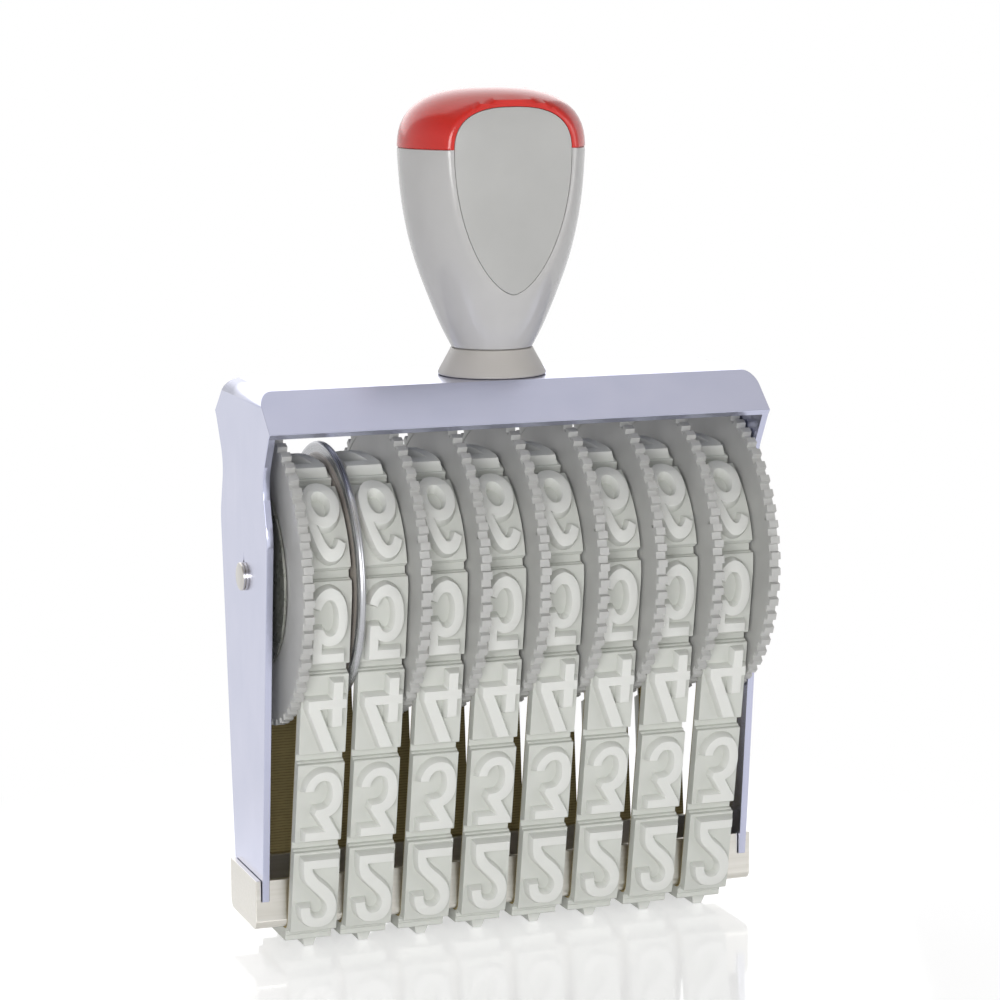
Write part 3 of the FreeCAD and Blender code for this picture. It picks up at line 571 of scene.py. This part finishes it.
def add_cylinder(radius, length, x, vertices):
    """A cylinder along the axle."""
    drop_selection()
    bpy.ops.mesh.primitive_cylinder_add(vertices=vertices, radius=radius * MM, depth=length * MM,
                                        location=(x * MM, 0, AXLE_Z * MM), rotation=(0, math.pi / 2, 0))
    return settle(bpy.context.object, "cylinder")


def make_wheel():
    """Wheel 2: a disc of square-cut teeth with a slightly raised rim, on the right of its drum."""
    disc_x, outline = DISC_MIDDLES[1], []
    for tooth in range(TEETH):
        for share, radius in ((0.0, TIP_R), (0.23, TIP_R), (0.45, TIP_R),
                              (0.5, GULLET_R), (0.73, GULLET_R), (0.95, GULLET_R)):
            angle = 2 * math.pi * (tooth + share) / TEETH
            outline.append((radius * math.cos(angle), radius * math.sin(angle)))
    wheel = stand_across(flat_shape("wheel", [outline], 2 * DISC_HALF, 0.09))
    wheel.location = (disc_x * MM, 0, AXLE_Z * MM)
    bpy.ops.object.transform_apply(location=True, rotation=True, scale=True)
    close_mesh(wheel)
    off_middle = DISC_HALF - DISH_DEPTH + CUTTER / 2
    for side in (off_middle, -off_middle):
        combine(wheel, "DIFFERENCE", add_cylinder(DISH_R, CUTTER, disc_x + side, 96))
    drum = add_cylinder(DRUM_R, DRUM_WIDTH, disc_x - DISC_HALF + DRUM_OVERLAP - DRUM_WIDTH / 2, 24)
    soften(drum, 0.3, 2, 40)
    combine(wheel, "UNION", drum)
    combine(wheel, "DIFFERENCE", add_cylinder(BORE_R, 40, disc_x, 40))
    return settle(wheel, "wheel", 30)


# Wheel 1 has its disc on the left of its drum, as a mirror image of the others
right_handed = make_wheel()
left_handed = copy_of(right_handed, 0)
for vertex in left_handed.data.vertices:
    vertex.co.x = 2 * DISC_MIDDLES[1] * MM - vertex.co.x
left_handed.data.flip_normals()
for number, middle in enumerate(DISC_MIDDLES, 1):
    piece = copy_of(left_handed if number == 1 else right_handed, middle - DISC_MIDDLES[1])
    piece.name = piece.data.name = "thumb_wheel_%d" % number
    dress(piece, WHEEL_ABS, "wheel_body_%d" % number, ["wheel_%d" % number])
for original in (right_handed, left_handed):
    bpy.data.objects.remove(original)


# Separator, friction spring and axle

def rounded_rim(half_web, bead, radius):
    """Half profile of a thin disc with a round bead at its rim."""
    rim = [(radius - bead + bead * math.cos(math.radians(a)), bead * math.sin(math.radians(a)))
           for a in range(-130, 131, 20)]
    return [(2.8, -half_web)] + rim + [(2.8, half_web), (2.8, -half_web)]


# Each of these turns round the axle from its own place x on it
SEPARATOR_X, SPRING_X = -37.49, -53.5
separator = turned("separator_disc", rounded_rim(0.6, 0.8, 27.4), x=SEPARATOR_X)
dress(settle(separator, "separator_disc", 45), SEPARATOR, replaced=["separator"])

# A flat hub and a dished flank of half a millimetre of steel
spring = turned("friction_disc", [(2.6, 0), (6.4, 0), (18.6, 1.9), (18.75, 2.05), (18.75, 2.35),
                                  (18.5, 2.42), (6.1, 0.5), (2.6, 0.5), (2.6, 0)], x=SPRING_X)
dress(settle(spring, "friction_disc", 30), SPRING_STEEL, replaced=["friction_spring"])

# The right half of the axle from the domed face of its riveted head: a groove and the shoulder behind it
head = [(0, 56.28), (1.6, 56.26), (2.4, 56.15), (2.85, 55.95), (2.97, 55.75), (2.97, 55.5), (2.62, 55.44),
        (2.62, 55.3), (2.97, 55.24), (2.97, 54.6), (2.5, 54.5)]
rod = turned("axle_rod", [(r, -a) for r, a in head] + head[::-1], x=0, steps=64)
dress(settle(rod, "axle_rod", 30), TURNED_STEEL, replaced=["axle"])


# The handle

# Heights of the seam between grip and crown, of the ledge they meet on and of the grip's foot
SEAM_Z, SPLIT_Z, GRIP_FOOT_Z = 166.1, 166.7, 124.8
FOOT_R, SEAM_R, LEDGE_R, CROWN_RISE, FULLNESS = 8.6, 19.75, 19.55, 13.2, 2.6
SCREW_R, SCREW_TOP, SEAM_GAP = 2.5, 140.0, 0.04
FACET_Y, FACET_EDGE = 13.9, 0.3
LABEL_HALF, LABEL_DROP, LABEL_RISE, LABEL_GAP, LABEL_DEPTH = 12.8, 29.4, 9.2, 0.13, 1.6


def press_flat(piece):
    """Press the facet for the label into the front of a turned form, with a soft edge all round."""
    for vertex in piece.data.vertices:
        over = -vertex.co.y / MM - (FACET_Y - FACET_EDGE)
        if over > 0:
            vertex.co.y = -(FACET_Y - FACET_EDGE * math.exp(-over / FACET_EDGE)) * MM


# The grip's outline as shares of its rise and of its swell, and the crown's by shares of its rise
GRIP_SHAPE = [(0.0, 0.0), (0.1, 0.19), (0.2, 0.35), (0.3, 0.495), (0.42, 0.655), (0.55, 0.79), (0.7, 0.9),
              (0.85, 0.965), (1.0, 1.0)]
CROWN_SHAPE = [0.062, 0.1, 0.2, 0.3, 0.4, 0.5, 0.6, 0.68, 0.75, 0.81, 0.86, 0.9, 0.93, 0.955, 0.975,
               0.99, 0.998]


def make_grip():
    """The grip: a pear shape with the screw's bore up its middle and a flat ledge for the crown."""
    side = smooth_line([(FOOT_R + (SEAM_R - FOOT_R) * out, GRIP_FOOT_Z + (SEAM_Z - 0.15 - GRIP_FOOT_Z) * up)
                        for up, out in GRIP_SHAPE], 5)
    foot = [(SCREW_R, SCREW_TOP), (SCREW_R, GRIP_FOOT_Z + 0.05), (FOOT_R - 0.2, GRIP_FOOT_Z + 0.05)]
    ledge = [(SEAM_R - 0.03, SPLIT_Z - 0.1), (LEDGE_R, SPLIT_Z), (SCREW_R, SPLIT_Z), (SCREW_R, SCREW_TOP)]
    return turned("grip", foot + side + ledge, steps=160)


def make_crown():
    """The crown: a full dome that starts just above the grip's ledge."""
    dome = [(SEAM_R * (1 - t ** FULLNESS) ** (1 / FULLNESS), SEAM_Z + CROWN_RISE * t) for t in CROWN_SHAPE]
    base = [(0, SPLIT_Z + SEAM_GAP), (LEDGE_R, SPLIT_Z + SEAM_GAP)]
    return turned("crown", base + dome + [(0, SEAM_Z + CROWN_RISE)], steps=160)


def label_outline(margin):
    """The label as (x, height) from the front: an arch above the seam and a rounded taper below it."""
    half, drop, rise = LABEL_HALF + margin, LABEL_DROP + margin, LABEL_RISE + margin
    down = [math.sin(math.radians(a)) for a in range(90, 0, -3)]
    taper = [(half * (1 - d * d) ** 0.62, SEAM_Z - drop * d) for d in down]
    turns = [math.radians(a) for a in range(0, 90, 5)]
    arch = [(half * math.cos(a) ** (2 / FULLNESS), SEAM_Z + rise * math.sin(a) ** (2 / FULLNESS))
            for a in turns]
    right = taper + arch + [(0, SEAM_Z + rise)]
    return right + [(-x, z) for x, z in reversed(right[1:-1])]


def stand_in_front(piece, y):
    """Turn a flat shape so that it faces the front at a depth y."""
    pick(piece)
    piece.matrix_world = Matrix(((1, 0, 0, 0), (0, 0, 1, y * MM), (0, 1, 0, 0), (0, 0, 0, 1)))
    bpy.ops.object.transform_apply(location=True, rotation=True, scale=True)
    piece.data.flip_normals()
    return piece


grip, crown = make_grip(), make_crown()
for piece in (grip, crown):
    press_flat(piece)
label = stand_in_front(flat_shape("label", [label_outline(0)], LABEL_DEPTH, 0.1),
                       -(FACET_Y + 0.08 - LABEL_DEPTH / 2))
for piece in (grip, crown):
    pocket = stand_in_front(flat_shape("pocket", [label_outline(LABEL_GAP)], 3.0, 0.01), -(FACET_Y - 0.05))
    close_mesh(pocket)
    combine(piece, "DIFFERENCE", pocket)
close_mesh(label)
dress(settle(label, "bare_label", 30), LABEL_ABS, replaced=["label_plate"])
dress(settle(grip, "handle_grip", 32), GRIP_ABS, replaced=["handle_body"])
dress(settle(crown, "handle_crown", 32), CAP_ABS, replaced=["handle_cap"])

# The collar flares from the grip's foot down to the top plate
collar = turned("collar", [(2.8, 118.85), (11.0, 118.85), (11.35, 118.95), (11.48, 119.2), (11.4, 119.55),
                           (8.95, 124.0), (8.75, 124.45), (8.5, 124.6), (8.0, 124.7), (2.8, 124.7),
                           (2.8, 118.85)], steps=128)
dress(settle(collar, "handle_collar_ring", 35), COLLAR_ABS, replaced=["handle_collar"])


# What the frame keeps

for name, material in {"frame": SHEET, "foot_channel": FOOT_SHEET, "handle_screw": TURNED_STEEL,
                       "screw_washer": TURNED_STEEL}.items():
    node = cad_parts[name]
    node.data.materials.clear()
    node.data.materials.append(material)

# Deburred edges on the pressed sheet
DEBURRED = 0.16
for name in ("frame", "foot_channel"):
    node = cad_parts[name]
    weld = node.modifiers.new("weld", "WELD")
    weld.merge_threshold = 0.002 * MM
    planes = node.modifiers.new("planes", "DECIMATE")
    planes.decimate_type, planes.angle_limit = "DISSOLVE", math.radians(1)
    edges = node.modifiers.new("deburred", "BEVEL")
    edges.width, edges.segments, edges.harden_normals = DEBURRED * MM, 2, True
    edges.limit_method, edges.angle_limit = "ANGLE", math.radians(40)


# Floor, light and camera

drop_selection()
bpy.ops.mesh.primitive_plane_add(size=8, location=(0, 0, -0.0002))
floor = bpy.context.object
floor.name = "pale_floor"
material, tree, shader, place = finish_base("pale_floor", "#ffffff", 0.06, ior=1.6)
tree.links.new(vary(tree, grain(tree, place, 30), 0.04, 0.09), shader.inputs["Roughness"])
# White far away, and mirroring the stamp faintly close to its feet
distance = add_node(tree, "VectorMath", {"operation": "LENGTH"}, {"Vector": place})
away = add_node(tree, "MapRange", {"From Min": 0.06, "From Max": 0.16, "To Min": 0.25, "To Max": 1.0,
                                   "interpolation_type": "SMOOTHSTEP"}, {"Value": distance.outputs["Value"]})
seen = seen_rays(tree)
glow = add_node(tree, "Math", {"operation": "MULTIPLY", 1: 0.36}, {0: seen})
shader.inputs["Emission Color"].default_value = linear("#ffffff")
tree.links.new(glow.outputs["Value"], shader.inputs["Emission Strength"])
share = add_node(tree, "Math", {"operation": "MULTIPLY"}, {0: away.outputs["Result"], 1: seen})
white = add_node(tree, "Emission", {"Color": linear("#ffffff"), "Strength": 1.0})
mixed = add_node(tree, "MixShader", None, {0: share.outputs["Value"], 1: shader.outputs["BSDF"],
                                          2: white.outputs["Emission"]})
tree.links.new(mixed.outputs["Shader"], tree.nodes["Material Output"].inputs["Surface"])
floor.data.materials.append(material)

# A pale studio, white at the horizon and grey overhead, that lights softly and is mirrored at full strength
world = bpy.data.worlds.new("soft_studio")
bpy.context.scene.world = world
world.use_nodes = True
tree = world.node_tree
tree.nodes.clear()
way = add_node(tree, "TexCoord")
height = add_node(tree, "SeparateXYZ", None, {"Vector": way.outputs["Generated"]}).outputs["Z"]
ramp = add_node(tree, "ValToRGB", None, {"Fac": height})
for position, colour in ((0.25, "#fafafb"), (0.5, "#d2d2d4"), (0.75, "#b2ada2"), (1.0, "#b2ada2")):
    ramp.color_ramp.elements.new(position).color = linear(colour)
ramp.color_ramp.elements[0].color = linear("#ffffff")
ramp.color_ramp.elements.remove(ramp.color_ramp.elements[-1])
soft_light = add_node(tree, "Background", {"Strength": 0.24}, {"Color": ramp.outputs["Color"]})
plain = add_node(tree, "Background", {"Strength": 1.0}, {"Color": ramp.outputs["Color"]})
mixed = add_node(tree, "MixShader", None, {0: seen_rays(tree), 1: soft_light.outputs["Background"],
                                          2: plain.outputs["Background"]})
add_node(tree, "OutputWorld", None, {"Surface": mixed.outputs["Shader"]})


AIM = Vector((0, 0, 0.08))


def soft_lamp(name, place, size, power):
    """A large square lamp aimed at the middle of the stamp."""
    drop_selection()
    bpy.ops.object.light_add(type="AREA", location=place)
    lamp = bpy.context.object
    lamp.name = name
    lamp.data.size, lamp.data.energy = size, power
    lamp.rotation_euler = (AIM - Vector(place)).to_track_quat("-Z", "Y").to_euler()


soft_lamp("front_left_box", (-0.5, -1.0, 0.16), 0.6, 9)
soft_lamp("front_right_box", (0.75, -0.7, 0.2), 0.5, 2)
soft_lamp("rear_top_box", (0, 0.8, 0.8), 1.4, 7)

# The camera stands to the left and a little above, where the photograph was taken from
drop_selection()
bpy.ops.object.camera_add()
camera = bpy.context.object
azimuth, elevation, roll = math.radians(-19.82), math.radians(9.043), math.radians(-0.209)
DISTANCE, TARGET = 0.6648, Vector((1.74, 0, 91.5)) * MM
level = math.cos(elevation)
back = Vector((math.sin(azimuth) * level, -math.cos(azimuth) * level, math.sin(elevation)))
right = Vector((math.cos(azimuth), math.sin(azimuth), 0))
up = back.cross(right)
turned_right = math.cos(roll) * right + math.sin(roll) * up
turned_up = math.cos(roll) * up - math.sin(roll) * right
camera.matrix_world = Matrix((turned_right, turned_up, back)).transposed().to_4x4()
camera.location = TARGET + back * DISTANCE
camera.data.sensor_width, camera.data.lens = 36, 112.0
camera.data.clip_start = 0.01
bpy.context.scene.camera = camera
bpy.context.scene.view_settings.view_transform = "Standard"
